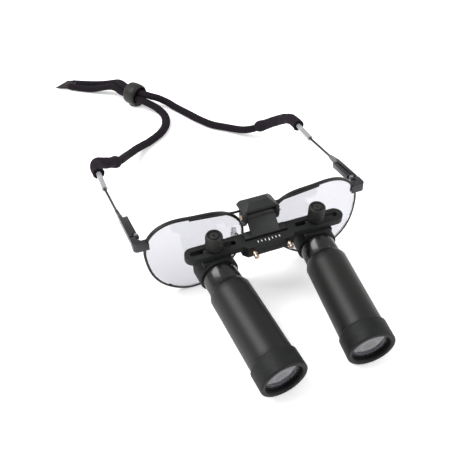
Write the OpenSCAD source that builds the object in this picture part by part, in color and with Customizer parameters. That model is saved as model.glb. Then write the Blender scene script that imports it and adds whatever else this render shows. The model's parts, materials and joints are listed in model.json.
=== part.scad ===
// Binocular dental loupes: a metal spectacle frame with plano lenses, a clamp
// over its bridge that carries a flip-up plate, a slotted bar with two
// telescopes on thumbscrews, and a soft neck retainer with a sliding lock.
// Millimetres, +Z up, -Y towards the work, +X on the wearer's left. The part
// stands on the rims and on the objective caps, with its straps on the table.

/* [Spectacle frame] */
// Half the distance between the lens centres
lens_x = 37.5; // [36.5:0.5:38.5]
// Half width of a lens
lens_half_w = 27.3; // [26.5:0.1:27.6]
// Half height of a lens
lens_half_h = 23.7; // [22:0.1:24]
// Thickness of the plano lenses
lens_t = 1.8; // [1.5:0.1:2]
// Wire width of a rim, seen from the front
rim_w = 1.5; // [1.2:0.1:1.8]
// Depth of a rim from front to back
rim_d = 2.2; // [2.1:0.1:2.6]
// Half width across the end pieces
end_x = 70.8; // [70:0.2:72]

/* [Temples] */
// Length of the metal part of a temple
temple_len = 63; // [60:1:66]
// Height of a temple where it leaves its hinge
temple_h = 4.6; // [4.2:0.2:5]
// Radius of the temple wire
wire_r = 0.8; // [0.7:0.05:0.9]
// Radius of the clear temple tip
tip_r = 1.8; // [1.7:0.1:2]

/* [Bar and flip] */
// Half length of the slotted bar
bar_half = 47; // [46.5:0.5:48]
// Depth of the bar arms from front to back
arm_d = 9.2; // [9:0.1:9.6]
// Thickness of the bar arms
arm_t = 4; // [3.8:0.1:4]
// Angle of the telescopes below the lens normal
declination = 8.9; // [8.5:0.1:9.5]
// Angle by which each telescope turns inwards
convergence = 4.8; // [4.4:0.1:5]

/* [Telescopes] */
// Distance of a telescope from the middle
scope_x = 30.3; // [29:0.1:31.5]
// Depth of the telescope axis below the bar top
scope_drop = 15.2; // [15.2:0.1:15.5]
// Length in front of the thumbscrew
scope_len = 78.5; // [77:0.5:80]
// Radius of the slim neck
neck_r = 10; // [9.9:0.05:10]
// Radius of the barrel behind the objective cap
barrel_r = 11.9; // [11.8:0.05:12]
// Radius of the objective cap
cap_r = 12.9; // [12.6:0.1:13]

/* [Retainer strap] */
// Radius of the strap cord
cord_r = 2.7; // [2.6:0.05:2.7]
// Radius of the knitted sleeves on the temple tips
sleeve_r = 3.9; // [3.7:0.1:4]

/* [Hidden] */
$fn = 48;

// Where the frame stands: y of the bridge, lean of the rims and their lift
bridge_y = -22.5;
lean = 1.65;
lens_lift = 26.9;
// Lens plane behind the bridge point, and its wrap round the face
lens_y = 3.4;
wrap = 2;
outline_power = 2.6;
outline_steps = 72;
rim_side_gap = 0.02;

// Clearance of a pin that turns, and of faces that pass each other
fit = 0.04;
gap = 0.3;

// Temple hinge: axis, knuckle radius and the three knuckles' heights
hinge_x = 66.8;
hinge_y = 12;
knuckle_r = 1.4;
knuckle_z = [[9.6, 10.8], [11.1, 12.7], [13, 14.2]];
hinge_pin_r = 0.6;
lug_z = [9.3, 14.5];
lug_back = 10.7;
// Screw that closes the rim inside the lug
close_screw = [66.5, 4.3];
close_screw_r = 0.6;
// Temple line: start at the hinge side, slope down and outwards
temple_start = [69.6, 11.6, 11.9];
temple_slope = 4.6;
temple_splay = 1.8;
bar_part = 24;
taper_end = 34;
// Clear tip: it rises from the end of the wire and ends inside the sleeve
tip_end = [-0.9, 89.4, 3.2];
tip_bore = 12;
// Coil of the hinge spring
spring_turns = 6;
spring_steps = 10;
spring_len = 11.6;
spring_coil_r = 0.72;
spring_wire_r = 0.18;
// Nose bridge: an arc between the rims
bridge_r = 16;
bridge_top = 12.9;
bridge_angle = 38;

// Clamp and flip hinge, in the plane across the bridge
pin_y = -4.2;
pin_z = 19.2;
pin_r = 1;
barrel_hinge_r = 2.1;
ear_in = 8.6;
ear_out = 10.5;
ridge_half = 5.6;
jaw = [-1.8, -0.1];
jaw_low = 14.2;
brow_y = 0.68;
brow_z = 20.4;
brow_end = [39, 1.5, 22.6];
brow_r = 0.7;
back_plate = [1.5, 3.5];
clamp_screw_x = 5;
clamp_screw_z = 15.9;
plate_w = 16.2;
plate_t = 2.4;
plate_len = 11.8;
plate_slope = 50.4;

// Bar: centre block, pocket for the foot of the flip plate, declination pin
bar_y = -12;
bar_z = 10.56;
block_half = 15.5;
block_front = -7;
block_t = 7.4;
foot_w = 24.6;
foot_y = [-0.6, 4.4];
foot_top = 0.6;
dec_pin = [1.8, -2.2];
dec_r = 2.6;
pocket = [-1.7, -5.2];
slot_mid = 30.8;
slot_len = 26;
slot_w = 3.1;
screw_x = 10.2;
screw_z = -2.6;
screw_out = 4;

// Thumbscrew, the saddle of the bracket and the key that guides it in the slot
knob_r = 4.75;
knob_h = 9.4;
washer_r = 4.4;
washer_t = 0.6;
washer_z = 0.25;
stud_r = 1;
stud_low = -5;
key_len = 12;
key_w = 2.8;
key_top = -0.6;
saddle = [16, 8.4];
saddle_front = -6;

// Telescope stations along its axis, from the thumbscrew forwards
eye_z = -6;
ring_z = [-2.8, 6.8];
ring_r = 11.4;
neck_end = 17.5;
spigot_end = 22;
spigot_r = 9.6;
eye_spigot_r = 9.1;
eye_ring_r = 10.5;
eye_ring_front = -3.2;
neck_bore = 8.4;
shoulder_end = 20.5;
barrel_bore = 10.4;
cap_start = 67.2;
cap_seat_r = 11;
front_bore = 10.5;
objective_seat = 72;
objective_t = 3;
ring_clear = 0.1;
barrel_end = 76;

// Retainer strap routes, laid on the table behind the frame
sleeve_path_right = [[-71.5, 70, 32], [-71.7, 77.5, 32], [-70.5, 83.5, 31], [-66.5, 87, 28.5],
    [-62, 90.5, 25], [-58, 94.5, 22], [-54, 98.5, 19]];
sleeve_path_left = [[71.5, 70, 32], [71.7, 78.5, 31.6], [71.5, 85.5, 29.6], [71, 92, 26.2],
    [70, 98, 22.4], [68, 103.5, 18.6], [65.5, 108, 15.2]];
cord_path_right = [[-53.5, 99.1, 18.7], [-50, 105, 16], [-46, 112, 13], [-40.5, 120.5, 9.5],
    [-34, 129, 6.5], [-27, 136, 4.2], [-20, 141.5, 2.8], [-9.5, 149.5, 2.8], [-2.5, 159, 2.8],
    [1, 170, 2.8], [1.2, 179.5, 3.2], [-2.6, 188.6, 5.2], [-8.2, 196, 7.2], [-11.9, 201.9, 7.7],
    [-15.7, 209, 7.7], [-19, 215.2, 7.7], [-22.3, 221.4, 7.7], [-24.4, 227.6, 8.1],
    [-27.6, 233.4, 8.2], [-32.2, 237.9, 7.2], [-37.2, 242, 5.4], [-42.4, 246.4, 3.6],
    [-48, 251, 2.8], [-55, 256.5, 2.8], [-61.5, 262.5, 2.8]];
cord_path_left = [[65.1, 108.6, 14.8], [61, 112.5, 11.5], [55.5, 117, 8], [50.5, 123, 5.2],
    [46.5, 129.5, 3.4], [40.5, 136.5, 2.8], [32.5, 144.5, 2.8], [26, 156, 2.8], [20, 170.5, 2.8],
    [14.2, 184.5, 2.9], [9.4, 192, 5], [3, 196.4, 8.2], [-3.6, 199, 10.6], [-8.2, 203.9, 11.3],
    [-11.9, 211, 11.3], [-15.2, 217.2, 11.3], [-18.5, 223.4, 11.3], [-20, 230.2, 11],
    [-21.6, 237.6, 9.4], [-24.4, 244.6, 6.6], [-28.6, 250.2, 4.2], [-34, 254.2, 3],
    [-40, 257.2, 2.8], [-46, 260.4, 2.8], [-51.6, 263.8, 2.8], [-57.5, 267.5, 2.8]];
lock_pos = [-13.8, 210, 9.5];
lock_yaw = 28;
lock_roll = 40;
lock_r = 9.4;
lock_half = 6;
cord_pair = 5.6;
tab_points = [[-57, 258], [-52.5, 268.5], [-61, 277], [-73.5, 267.5]];
tab_t = 5.4;

// ---------------------------------------------------------------- helpers

function unit(v) = v / norm(v);
function side_sign(side) = side == "left" ? 1 : -1;

// A ring of points round p, square to the direction t
function ring(p, t, up, r, n) =
    let (s = unit(cross(t, up)), u = cross(s, t))
    [for (k = [0:n - 1]) p + r * (cos(360 * k / n) * s + sin(360 * k / n) * u)];

// Direction of a route at its point i
function heading(path, i) =
    unit(path[min(i + 1, len(path) - 1)] - path[max(i - 1, 0)]);

// A round tube along a route
module sweep(path, r, sides = 8, up = [0, 0, 1]) {
    last = len(path) - 1;
    points = [for (i = [0:last]) each ring(path[i], heading(path, i), up, r, sides)];
    walls = [for (i = [0:last - 1], k = [0:sides - 1])
        let (a = i * sides + k, b = i * sides + (k + 1) % sides)
        each [[a, b, b + sides], [a, b + sides, a + sides]]];
    caps = [[for (k = [sides - 1:-1:0]) k], [for (k = [0:sides - 1]) last * sides + k]];
    polyhedron(points, concat(walls, caps));
}

// A straight round rod from a to b
module rod(a, b, r) {
    d = b - a;
    translate(a)
        rotate([0, acos(d[2] / norm(d)), atan2(d[1], d[0])])
            cylinder(r = r, h = norm(d), $fn = 32);
}

// Rods through the points, with a slightly fuller ball at each corner
module wire(points, r) {
    for (i = [0:len(points) - 2]) rod(points[i], points[i + 1], r);
    for (i = [1:len(points) - 2]) translate(points[i]) sphere(r * 1.04, $fn = 32);
}

// Extrudes a (y, z) outline along x, centred
module across(w) rotate([90, 0, 90]) translate([0, 0, -w / 2]) linear_extrude(w) children();

// A flat outline with round ends
module stadium(length, width) {
    square([length - width, width], center = true);
    for (s = [-1, 1]) translate([s * (length - width) / 2, 0]) circle(d = width);
}

// ---------------------------------------------------------------- frames

// The spectacle frame as it stands
module front() translate([0, bridge_y, lens_lift]) rotate([-lean, 0, 0]) children();

// Mirrors a child built on the wearer's left
module on(side) mirror([side == "left" ? 0 : 1, 0, 0]) children();

// The bar, with z square to its top face
module bar_frame() front() translate([0, bar_y, bar_z]) rotate([declination, 0, 0]) children();

// The bar at one thumbscrew
module at_knob(side) bar_frame() translate([side_sign(side) * scope_x, 0, 0]) children();

// A telescope's axis, with z forwards
module scope(side) at_knob(side) translate([0, 0, -scope_drop])
    rotate([0, 0, -side_sign(side) * convergence]) rotate([90, 0, 0]) children();

// The line of a temple, with y along it
module temple(side) front() on(side) translate(temple_start)
    rotate([-temple_slope, 0, -temple_splay]) children();

// ---------------------------------------------------------------- rims and lenses

// Distance of the rim line from the lens centre, t from the temple side
function lens_r(t) =
    pow(pow(abs(cos(t)) / lens_half_w, outline_power)
        + pow(abs(sin(t)) / lens_half_h, outline_power), -1 / outline_power)
    - 0.66 * cos(3 * t) - 0.5 * sin(2 * t) + 1.78 * sin(3 * t)
    + 0.5 * cos(4 * t) - 0.2 * sin(4 * t);

module lens_outline(grow) polygon([for (i = [0:outline_steps - 1])
    let (t = 360 * i / outline_steps, r = lens_r(t) + grow) [r * cos(t), r * sin(t)]]);

module at_lens(side) front() on(side) translate([lens_x, lens_y, 0])
    rotate([0, 0, wrap]) rotate([90, 0, 0]) children();

module rim(side) color("dimgray") at_lens(side) linear_extrude(rim_d, center = true)
    difference() {
        lens_outline(rim_w / 2);
        lens_outline(-rim_w / 2);
    }

module lens(side) color("whitesmoke") at_lens(side)
    linear_extrude(lens_t, center = true) lens_outline(-rim_w / 2 - rim_side_gap);

// The space of both rims and lenses, cut from what is soldered to them
module rim_space() for (side = ["left", "right"]) at_lens(side)
    linear_extrude(rim_d, center = true) lens_outline(rim_w / 2);

module nose_bridge() color("dimgray") difference() {
    front() translate([0, 2.8, bridge_top - bridge_r]) rotate([90, 0, 0])
        rotate([0, 0, 90 - bridge_angle]) rotate_extrude(angle = 2 * bridge_angle, $fn = 96)
            translate([bridge_r, 0]) circle(0.8, $fn = 24);
    rim_space();
}

// Wire along the front of both rims, a hair clear of them
module brow_bar() color("dimgray") front() wire([[-brow_end[0], brow_end[1], brow_end[2]],
    [-13, brow_y, brow_z], [13, brow_y, brow_z], brow_end], brow_r);

// Lug that wraps the corner, with the two outer knuckles of the hinge
module end_piece(side) color("dimgray") difference() {
    front() on(side) {
        translate([0, 0, lug_z[0]]) linear_extrude(lug_z[1] - lug_z[0]) {
            translate([62, 2.6]) square([end_x - 62 - 2.6, 3.4]);
            translate([67.6, 5.2]) square([end_x - 67.6, lug_back - 5.2]);
            translate([end_x - 2.6, 5.2]) circle(2.6);
            translate([67.6, 5]) square([0.6, 1]);
        }
        for (k = [0, 2]) translate([0, 0, knuckle_z[k][0]])
            linear_extrude(knuckle_z[k][1] - knuckle_z[k][0]) {
                translate([hinge_x, hinge_y]) circle(knuckle_r);
                translate([hinge_x - knuckle_r, 9.6]) square([2 * knuckle_r, hinge_y - 9.6]);
            }
    }
    rim_space();
    front() on(side) translate([hinge_x, hinge_y, 8]) cylinder(r = hinge_pin_r, h = 8);
    front() on(side) translate([each close_screw, 8])
        cylinder(r = close_screw_r, h = 5.4);
}

// Hinge screws of the temples and the screws that close the rims
module frame_screws() color("silver") front() for (side = ["left", "right"]) on(side) {
    translate([hinge_x, hinge_y, 9.4]) cylinder(r = hinge_pin_r, h = 4.8);
    translate([hinge_x, hinge_y, 14.2]) screw_head(1.1, 0.6);
    translate([each close_screw, 8.9]) cylinder(r = close_screw_r, h = 4.5);
    translate([each close_screw, lug_z[0]]) mirror([0, 0, 1]) screw_head(1, 0.6);
}

// A slotted head on the plane z = 0
module screw_head(r, h) difference() {
    cylinder(r = r, h = h);
    translate([-r, -r / 6, h * 0.5]) cube([2 * r, r / 3, h]);
}

module pad_arms() color("silver") difference() {
    for (side = ["left", "right"]) front() on(side)
        wire([[9.6, 3, -3.5], [8.6, 6, -2.2], [10.2, 8.2, 0], [10.8, 9.6, -2.5]], 0.5);
    rim_space();
}

module pad_place(side) front() on(side) translate([10.9, 10.6, -4.2])
    rotate([8, 0, 32]) rotate([0, 90, 0]) children();

module nose_pads() color("whitesmoke") difference() {
    for (side = ["left", "right"]) pad_place(side)
        linear_extrude(2.2, center = true) stadium(13, 7);
    pad_arm_space();
}

module pad_arm_space() for (side = ["left", "right"]) front() on(side)
    rod([10.2, 8.2, 0], [10.8, 9.6, -2.5], 0.5);

// ---------------------------------------------------------------- temples

function wire_end() = [0, temple_len, 0];
function tip_way() = unit(tip_end - wire_end());

// Flat bar at the hinge, tapering into the wire
module temple_arm(side) color("dimgray") temple(side) {
    translate([0, bar_part / 2 + 0.2, 0]) cube([2.2, bar_part, temple_h], center = true);
    across(1.8) polygon([[bar_part, -temple_h / 2], [taper_end, -wire_r],
        [taper_end, wire_r], [bar_part, temple_h / 2]]);
    wire([[0, taper_end - 1, 0], wire_end(), wire_end() + tip_bore * tip_way()], wire_r);
}

// Case of the spring, soldered inside the flat bar
module spring_box(side) color("dimgray") temple(side) difference() {
    translate([-3.9, 3.4, -1.8]) cube([2.8, 19, 3.6]);
    rod([-2.5, 3, 0], [-2.5, 21, 0], 0.95);
}

// Sliding plunger with the middle knuckle
module hinge_plunger(side) color("silver") {
    temple(side) rod([-2.5, 1.6, 0], [-2.5, 8, 0], 0.65);
    difference() {
        front() on(side) translate([hinge_x, hinge_y, knuckle_z[1][0]])
            cylinder(r = knuckle_r, h = knuckle_z[1][1] - knuckle_z[1][0]);
        front() on(side) translate([hinge_x, hinge_y, 8])
            cylinder(r = hinge_pin_r + fit, h = 8);
    }
}

// Coil inside the spring box
module hinge_spring(side) color("silver") temple(side)
    sweep([for (i = [0:spring_turns * spring_steps])
        let (a = 360 * i / spring_steps)
        [spring_coil_r * cos(a) - 2.5, 8.4 + spring_len * i / (spring_turns * spring_steps),
            spring_coil_r * sin(a)]],
        spring_wire_r, 5, [0, 1, 0]);

// Clear tip over the end of the wire, its end inside the sleeve
module temple_tip(side) color("gainsboro") temple(side) difference() {
    rod(wire_end(), tip_end, tip_r);
    rod(wire_end() - 2 * tip_way(), wire_end() + tip_bore * tip_way(), wire_r);
}

module tip_sleeve(side) color("#2a252c")
    sweep(side == "left" ? sleeve_path_left : sleeve_path_right, sleeve_r, 10);

// ---------------------------------------------------------------- clamp and flip

// Hood over the bridge, front jaw and the two ears of the hinge
module clamp_hood() color("#3a3a3c") front() difference() {
    intersection() {
        union() {
            across(2 * ear_out) polygon([[-6.3, 22.6], [-6.3, 24.4], [-2.6, 26.6], [1.6, 26.3],
                [4.6, 24.4], [4.6, 21.9], [jaw[1], 21.9], [jaw[1], jaw_low],
                [jaw[0], jaw_low], [jaw[0], 22.6]]);
            for (s = [-1, 1]) translate([s * (ear_in + ear_out) / 2, 0, 0])
                across(ear_out - ear_in) polygon([[-7, 23.2], [-7, 17], [-5.4, 14],
                    [jaw[0], jaw_low], [jaw[0], 23.2]]);
        }
        rotate([90, 0, 0]) linear_extrude(20, center = true)
            polygon([[-ear_out, 10], [-ear_out, 22.8], [-ridge_half, 26.7], [ridge_half, 26.7],
                [ear_out, 22.8], [ear_out, 10]]);
    }
    translate([0, pin_y, pin_z]) rotate([0, 90, 0]) cylinder(r = pin_r, h = 30, center = true);
    for (s = [-1, 1]) rod([s * clamp_screw_x, -3, clamp_screw_z],
        [s * clamp_screw_x, 3, clamp_screw_z], 0.8);
}

// Plate that grips the brow bar from behind
module clamp_back_plate() color("#3a3a3c") front() difference() {
    translate([-9.5, back_plate[0], 14]) cube([19, back_plate[1] - back_plate[0], 7.9]);
    for (s = [-1, 1]) rod([s * clamp_screw_x, 1, clamp_screw_z],
        [s * clamp_screw_x, 5, clamp_screw_z], 0.8);
}

module clamp_screws() color("silver") front() for (s = [-1, 1]) {
    rod([s * clamp_screw_x, -1.6, clamp_screw_z], [s * clamp_screw_x, back_plate[1], clamp_screw_z],
        0.8);
    translate([s * clamp_screw_x, back_plate[1], clamp_screw_z]) rotate([-90, 0, 0]) screw_head(1.5, 0.9);
}

// Hinge pin with a tapped hole in each end
module flip_hinge_pin() color("silver") front() translate([0, pin_y, pin_z])
    rotate([0, 90, 0]) difference() {
        cylinder(r = pin_r, h = 2 * ear_out, center = true);
        for (s = [-1, 1]) translate([0, 0, s * (ear_out - 2)])
            cylinder(r = 0.5, h = 4.2, center = true);
    }

// Brass screws in the ends of the hinge pin
module hinge_end_screws() color("#c99a55") front() for (s = [-1, 1])
    translate([s * ear_out, pin_y, pin_z]) rotate([0, s * 90, 0]) {
        screw_head(1.6, 1.3);
        translate([0, 0, -3.8]) cylinder(r = 0.5, h = 3.8);
    }

// Flip plate: hinge barrel, sloping plate and the foot that seats in the bar
module flip_plate() color("#3d3d40") difference() {
    union() {
        front() {
            translate([0, pin_y, pin_z]) rotate([0, 90, 0])
                cylinder(r = barrel_hinge_r, h = plate_w, center = true);
            translate([0, pin_y, pin_z]) rotate([plate_slope, 0, 0])
                translate([-plate_w / 2, -plate_len, -plate_t / 2])
                    cube([plate_w, plate_len, plate_t]);
        }
        bar_frame() across(foot_w) {
            translate([foot_y[0], dec_pin[1]])
                square([foot_y[1] - foot_y[0], foot_top - dec_pin[1]]);
            translate(dec_pin) circle(dec_r);
        }
    }
    front() translate([0, pin_y, pin_z]) rotate([0, 90, 0])
        cylinder(r = pin_r + fit, h = 40, center = true);
    bar_frame() translate([0, dec_pin[0], dec_pin[1]]) rotate([0, 90, 0])
        cylinder(r = pin_r, h = 40, center = true);
}

module declination_pin() color("silver") bar_frame()
    translate([0, dec_pin[0], dec_pin[1]]) rotate([0, 90, 0])
        cylinder(r = pin_r, h = 2 * block_half - 0.6, center = true);

// ---------------------------------------------------------------- bar

module cross_bar() color("#232325") bar_frame() difference() {
    union() {
        translate([0, 0, -arm_t]) linear_extrude(arm_t) stadium(2 * bar_half, arm_d);
        translate([0, 0, -block_t]) linear_extrude(block_t)
            polygon([[-block_half, arm_d / 2], [-block_half, -4.4], [-13, block_front],
                [13, block_front], [block_half, -4.4], [block_half, arm_d / 2]]);
    }
    for (s = [-1, 1]) translate([s * slot_mid, 0, -10]) linear_extrude(20)
        stadium(slot_len, slot_w);
    translate([-foot_w / 2 - gap, pocket[0], pocket[1]]) cube([foot_w + 2 * gap, 10, 10]);
    translate([0, dec_pin[0], dec_pin[1]]) rotate([0, 90, 0])
        cylinder(r = pin_r + fit, h = 40, center = true);
    for (s = [-1, 1]) rod([s * screw_x, -10, screw_z], [s * screw_x, 0, screw_z], 1);
}

// Brass screws that lock the tilt of the bar
module bar_screws() color("#c99a55") bar_frame() for (s = [-1, 1]) {
    rod([s * screw_x, block_front - screw_out, screw_z],
        [s * screw_x, pocket[0], screw_z], 1);
    translate([s * screw_x, block_front - screw_out, screw_z]) rotate([90, 0, 0])
        screw_head(1.4, 1.2);
    rod([s * screw_x, block_front - 2.6, screw_z], [s * screw_x, block_front - 1.6, screw_z], 1.3);
}

// ---------------------------------------------------------------- thumbscrew and bracket

module thumb_knob(side) color("#1f1f21") at_knob(side) {
    base = washer_z + washer_t;
    translate([0, 0, base]) rotate_extrude() polygon([[0, 0], [knob_r - 0.4, 0],
        [knob_r, 0.4], [knob_r, knob_h - 0.5], [knob_r - 0.5, knob_h], [3.9, knob_h],
        [3.7, knob_h - 0.6], [1.4, knob_h - 0.6], [0, knob_h - 1.6]]);
    translate([0, 0, stud_low]) cylinder(r = stud_r, h = base - stud_low + 0.1);
}

module knob_washer(side) color("#1f1f21") at_knob(side) translate([0, 0, washer_z])
    difference() {
        cylinder(r = washer_r, h = washer_t);
        translate([0, 0, -1]) cylinder(r = stud_r, h = 3);
    }

// Ring round the neck, saddle under the bar and the key in the slot
module scope_bracket(side) color("#29292b") difference() {
    union() {
        scope(side) translate([0, 0, ring_z[0]]) cylinder(r = ring_r, h = ring_z[1] - ring_z[0]);
        at_knob(side) translate([-saddle[0] / 2, saddle_front, -scope_drop + 6])
            cube([saddle[0], saddle[1], 20]);
    }
    scope(side) translate([0, 0, -20]) cylinder(r = neck_r, h = 60);
    at_knob(side) difference() {
        translate([-20, -20, -arm_t - gap]) cube([40, 40, 20]);
        translate([-key_len / 2, -key_w / 2, -arm_t - 2])
            cube([key_len, key_w, arm_t + 2 + key_top]);
    }
    at_knob(side) translate([0, 0, stud_low - 2]) cylinder(r = stud_r + fit, h = 10);
}

// ---------------------------------------------------------------- telescope

module neck_tube(side) color("#1c1c1e") scope(side) rotate_extrude() polygon([
    [neck_bore, eye_z + 1.2], [eye_spigot_r, eye_z + 1.2], [eye_spigot_r, eye_ring_front + gap],
    [neck_r, eye_ring_front + gap], [neck_r, neck_end], [spigot_r, neck_end],
    [spigot_r, spigot_end], [neck_bore, spigot_end]]);

// Turning ring round the eye lens, with an inner lip
module eyepiece_ring(side) color("#1a1a1c") scope(side) rotate_extrude() polygon([
    [7.2, eye_z], [eye_ring_r - 0.4, eye_z], [eye_ring_r, eye_z + 0.4],
    [eye_ring_r, eye_ring_front], [eye_spigot_r + fit, eye_ring_front],
    [eye_spigot_r + fit, eye_z + 0.9], [7.2, eye_z + 0.9]]);

// A lens of radius r: height of its crowned face at radius x
function crown(x, r, rise) = rise * (1 - pow(x / r, 2));
module crowned_lens(r, low, high, back, front) rotate_extrude() polygon(concat(
    [for (i = [0:8]) let (x = r * i / 8) [x, low - crown(x, r, back)]],
    [for (i = [8:-1:0]) let (x = r * i / 8) [x, high + crown(x, r, front)]]));

module eyepiece_lenses(side) color("lightblue") scope(side) {
    crowned_lens(neck_bore, -3.6, -1.6, 0.4, 1.2);
    crowned_lens(neck_bore, 7, 9, 1.2, 0.8);
}

// Two prisms with a narrow air gap, which turn the image upright
module prisms(side) color("lightblue") scope(side) translate([0, 0, 26]) across(12) {
    polygon([[-5.5, 0], [5.5, 0], [5.5, 6.6], [-5.5, 1]]);
    polygon([[-5.5, 1.5], [5.5, 7.1], [5.5, 13], [-5.5, 13]]);
}

module prism_cell(side) color("#3a3a3c") scope(side) difference() {
    translate([0, 0, 25]) cylinder(r = barrel_bore, h = 15);
    translate([-6, -5.5, 26]) cube([12, 11, 13]);
    translate([0, 0, 20]) cylinder(r = 4.6, h = 30);
}

module barrel(side) color("#252322") scope(side) rotate_extrude() polygon([
    [spigot_r, neck_end], [10.4, neck_end], [barrel_r - 0.25, shoulder_end],
    [barrel_r, cap_start], [cap_seat_r, cap_start], [cap_seat_r, barrel_end],
    [front_bore, barrel_end], [front_bore, objective_seat], [9.6, objective_seat],
    [9.6, objective_seat - 1.4], [barrel_bore, objective_seat - 1.4],
    [barrel_bore, spigot_end], [spigot_r, spigot_end]]);

module objective_lens(side) color("lightblue") scope(side)
    crowned_lens(front_bore, objective_seat, objective_seat + objective_t, 0, 1);

// Ring that holds the front lens, clear of its crown
module objective_ring(side) color("#2c2c2e") scope(side) {
    back = objective_seat + objective_t + ring_clear;
    translate([0, 0, back]) difference() {
        cylinder(r = front_bore, h = barrel_end - back);
        translate([0, 0, -1]) cylinder(r = 10, h = 5);
    }
}

module objective_cap(side) color("#161617") scope(side) rotate_extrude() polygon([
    [cap_seat_r, cap_start], [cap_r - 0.4, cap_start], [cap_r, cap_start + 0.4],
    [cap_r, scope_len - 0.5], [cap_r - 0.5, scope_len], [10.8, scope_len],
    [10.2, scope_len - 0.6], [10.2, barrel_end], [cap_seat_r, barrel_end]]);

// ---------------------------------------------------------------- retainer strap

module cord_right() color("#2a252c") sweep(cord_path_right, cord_r, 8);
module cord_left() color("#2a252c") sweep(cord_path_left, cord_r, 8);

// Rubber bead on the doubled cords, with a foot
module cord_lock() color("#33342f") difference() {
    translate(lock_pos) rotate([0, 0, lock_yaw]) {
        rotate([90, 0, 0]) rotate_extrude() polygon([[0, -lock_half], [lock_r - 3, -lock_half],
            [lock_r - 0.8, -lock_half + 1.8], [lock_r, -lock_half + 4],
            [lock_r, lock_half - 4], [lock_r - 0.8, lock_half - 1.8],
            [lock_r - 3, lock_half], [0, lock_half]]);
        translate([0, 0, -lock_pos[2]]) cylinder(r1 = 6.4, r2 = 5.4, h = 4);
    }
    translate(lock_pos) rotate([0, 0, lock_yaw]) rotate([0, -lock_roll, 0]) rotate([90, 0, 0])
        linear_extrude(40, center = true) stadium(cord_pair + 2 * (cord_r + gap), 2 * (cord_r + gap));
}

// Stitched tab that joins the two cord ends
module end_tab() color("#3b3533") linear_extrude(tab_t) polygon(tab_points);

rim("right");  // rim_right
rim("left");  // rim_left
lens("right");  // lens_right
lens("left");  // lens_left
nose_bridge();
brow_bar();
end_piece("right");  // end_piece_right
end_piece("left");  // end_piece_left
frame_screws();
pad_arms();
nose_pads();
clamp_hood();
clamp_back_plate();
clamp_screws();
flip_hinge_pin();
hinge_end_screws();
temple_arm("right");  // temple_arm_right
temple_arm("left");  // temple_arm_left
spring_box("right");  // spring_box_right
spring_box("left");  // spring_box_left
hinge_plunger("right");  // hinge_plunger_right
hinge_plunger("left");  // hinge_plunger_left
hinge_spring("right");  // hinge_spring_right
hinge_spring("left");  // hinge_spring_left
temple_tip("right");  // temple_tip_right
temple_tip("left");  // temple_tip_left
tip_sleeve("right");  // tip_sleeve_right
tip_sleeve("left");  // tip_sleeve_left
flip_plate();
declination_pin();
cross_bar();
bar_screws();
scope_bracket("right");  // scope_bracket_right
scope_bracket("left");  // scope_bracket_left
neck_tube("right");  // neck_tube_right
neck_tube("left");  // neck_tube_left
eyepiece_ring("right");  // eyepiece_ring_right
eyepiece_ring("left");  // eyepiece_ring_left
eyepiece_lenses("right");  // eyepiece_lenses_right
eyepiece_lenses("left");  // eyepiece_lenses_left
prisms("right");  // prisms_right
prisms("left");  // prisms_left
prism_cell("right");  // prism_cell_right
prism_cell("left");  // prism_cell_left
barrel("right");  // barrel_right
barrel("left");  // barrel_left
objective_lens("right");  // objective_lens_right
objective_lens("left");  // objective_lens_left
objective_ring("right");  // objective_ring_right
objective_ring("left");  // objective_ring_left
objective_cap("right");  // objective_cap_right
objective_cap("left");  // objective_cap_left
thumb_knob("right");  // thumb_knob_right
thumb_knob("left");  // thumb_knob_left
knob_washer("right");  // knob_washer_right
knob_washer("left");  // knob_washer_left
cord_right();
cord_left();
cord_lock();
end_tab();
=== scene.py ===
"""Builds the finished look of flip-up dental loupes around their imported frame."""

import json
import math

import bmesh
import bpy
from mathutils import Matrix, Vector, noise


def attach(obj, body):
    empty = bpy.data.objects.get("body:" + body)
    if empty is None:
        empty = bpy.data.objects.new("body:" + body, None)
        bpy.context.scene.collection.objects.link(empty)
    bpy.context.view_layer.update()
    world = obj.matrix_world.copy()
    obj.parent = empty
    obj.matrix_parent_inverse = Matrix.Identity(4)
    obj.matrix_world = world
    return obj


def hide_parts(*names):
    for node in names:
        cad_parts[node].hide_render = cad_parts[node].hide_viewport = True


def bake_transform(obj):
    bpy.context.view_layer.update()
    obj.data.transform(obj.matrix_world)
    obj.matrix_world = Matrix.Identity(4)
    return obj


bl_info = {
    "name": "Dental Loupes Finish",
    "version": (1, 0, 0),
    "blender": (4, 5, 0),
    "location": "3D Viewport > Sidebar > Loupes",
    "description": "Finishes flip-up dental loupes and their neck retainer",
    "category": "Object",
}

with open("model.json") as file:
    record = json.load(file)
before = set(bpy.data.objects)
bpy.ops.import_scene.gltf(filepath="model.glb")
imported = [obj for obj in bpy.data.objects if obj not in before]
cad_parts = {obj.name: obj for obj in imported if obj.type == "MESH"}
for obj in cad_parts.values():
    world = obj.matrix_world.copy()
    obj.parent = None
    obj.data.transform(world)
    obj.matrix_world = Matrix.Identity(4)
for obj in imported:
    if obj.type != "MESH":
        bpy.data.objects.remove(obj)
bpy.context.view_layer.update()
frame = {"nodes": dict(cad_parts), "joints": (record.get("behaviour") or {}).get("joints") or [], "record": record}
MM = 0.001
SIDES = ("right", "left")
# Camera: place in millimetres, direction of view and upward direction
CAMERA_PLACE = (-106.7, -272.4, 259.1)
CAMERA_AHEAD = (0.2559, 0.7276, -0.6365)
CAMERA_UP = (0.2576, 0.5833, 0.7703)


def linear(code):
    """Linear colour of an sRGB hex value."""
    parts = [int(code[i : i + 2], 16) / 255 for i in (0, 2, 4)]
    return tuple(c / 12.92 if c <= 0.04045 else ((c + 0.055) / 1.055) ** 2.4 for c in parts)


# ------------------------------------------------------------------ settings


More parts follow.
